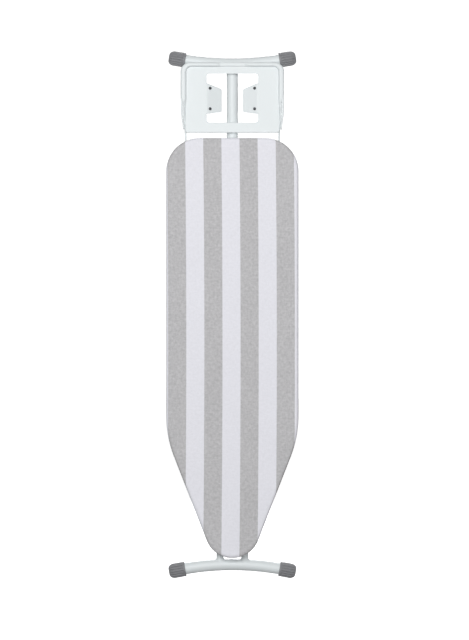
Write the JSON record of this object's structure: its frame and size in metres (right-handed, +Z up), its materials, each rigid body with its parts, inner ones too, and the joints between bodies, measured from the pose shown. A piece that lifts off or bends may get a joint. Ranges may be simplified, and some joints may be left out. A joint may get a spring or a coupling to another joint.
{
  "type": "folding ironing board",
  "caption": "Folding ironing board, stored flat: striped cotton cover, crossed tube legs with bowed foot bars, and an open iron-rest tray on side wires.",
  "frame": {"origin": "centre of the bounding box at its bottom, level with the nose feet that it stands on", "axes": "+Z up, from the nose to the tail and its iron rest; -Y is the direction the ironing surface faces; +X across the board, to the right of someone who looks at the ironing surface with the tail up"},
  "size_m": [0.393, 0.0694, 1.5694],
  "materials": {
    "striped_cotton": "woven cotton, grey and white lengthwise stripes",
    "felt": "needled felt",
    "frame_paint": "off-white powder coat",
    "white_paint": "smooth white powder coat, satin",
    "zinc": "bright zinc plate",
    "grey_plastic": "mid-grey moulded plastic",
    "dark_rubber": "dark silicone rubber"
  },
  "bodies": {
    "board": {"cotton_cover": "striped_cotton", "felt_pad": "felt", "mesh_panel": "frame_paint", "rim_tail_bow": "frame_paint", "rim_nose_bow": "frame_paint", "rim_side_left": "frame_paint", "rim_side_right": "frame_paint", "cross_brace_tail": "frame_paint", "cross_brace_middle": "frame_paint", "cross_brace_nose": "frame_paint", "slide_rail": "frame_paint", "rail_stop_nose": "grey_plastic", "rail_stop_tail": "grey_plastic", "leg_hinge_bracket": "zinc", "hinge_pin_left": "zinc", "hinge_pin_right": "zinc", "storage_clip": "grey_plastic", "lock_bearing_nose": "grey_plastic", "lock_bearing_tail": "grey_plastic", "lock_spring": "zinc", "wire_guide_left": "grey_plastic", "wire_guide_right": "grey_plastic"},
    "outer_leg": {"outer_tube_left": "white_paint", "outer_tube_right": "white_paint", "outer_foot_bar": "white_paint", "outer_foot_cap_left": "grey_plastic", "outer_foot_cap_right": "grey_plastic", "outer_tube_plug_left": "grey_plastic", "outer_tube_plug_right": "grey_plastic", "cross_bolt": "zinc", "cross_nut": "zinc", "cross_spacer_left": "grey_plastic", "cross_spacer_right": "grey_plastic"},
    "inner_leg": {"inner_tube": "white_paint", "inner_foot_bar": "white_paint", "inner_foot_cap_left": "grey_plastic", "inner_foot_cap_right": "grey_plastic", "inner_tube_plug": "grey_plastic"},
    "carriage": {"carriage_block": "grey_plastic", "carriage_pin": "zinc", "lock_pin": "zinc"},
    "height_lock": {"lock_rack": "zinc", "lock_shaft": "zinc", "lever_arm": "zinc", "lever_grip": "grey_plastic"},
    "iron_holder": {"iron_tray": "white_paint", "tray_wire_left": "white_paint", "tray_wire_right": "white_paint", "tray_stud_left_near": "dark_rubber", "tray_stud_left_far": "dark_rubber", "tray_stud_right_near": "dark_rubber", "tray_stud_right_far": "dark_rubber"}
  },
  "joints": [
    {"name": "leg_fold", "type": "hinge", "parent": "board", "child": "outer_leg", "pos_m": [0, 0.01275, 1.22647], "axis": [1, 0, 0], "range_deg": [0, 50]},
    {"name": "cross_pivot", "type": "hinge", "parent": "outer_leg", "child": "inner_leg", "pos_m": [0, 0.01275, 0.78247], "axis": [1, 0, 0], "range_deg": [-102, 0]},
    {"name": "carriage_pivot", "type": "hinge", "parent": "inner_leg", "child": "carriage", "pos_m": [0, 0.01275, 0.33847], "axis": [1, 0, 0], "range_deg": [0, 51]},
    {"name": "height_lock_turn", "type": "hinge", "parent": "board", "child": "height_lock", "pos_m": [0.078, -0.01525, 0.50647], "axis": [0, 0, -1], "range_deg": [0, 9], "stiffness_Nm_per_rad": 2, "springref_deg": -14.32},
    {"name": "iron_rest_slide", "type": "slide", "parent": "board", "child": "iron_holder", "axis": [0, 0, 1], "range_m": [0, 0.045]}
  ],
  "couplings": [
    {"joint": "cross_pivot", "follows": "leg_fold", "ratio": -2},
    {"joint": "carriage_pivot", "follows": "leg_fold", "ratio": 1}
  ]
}
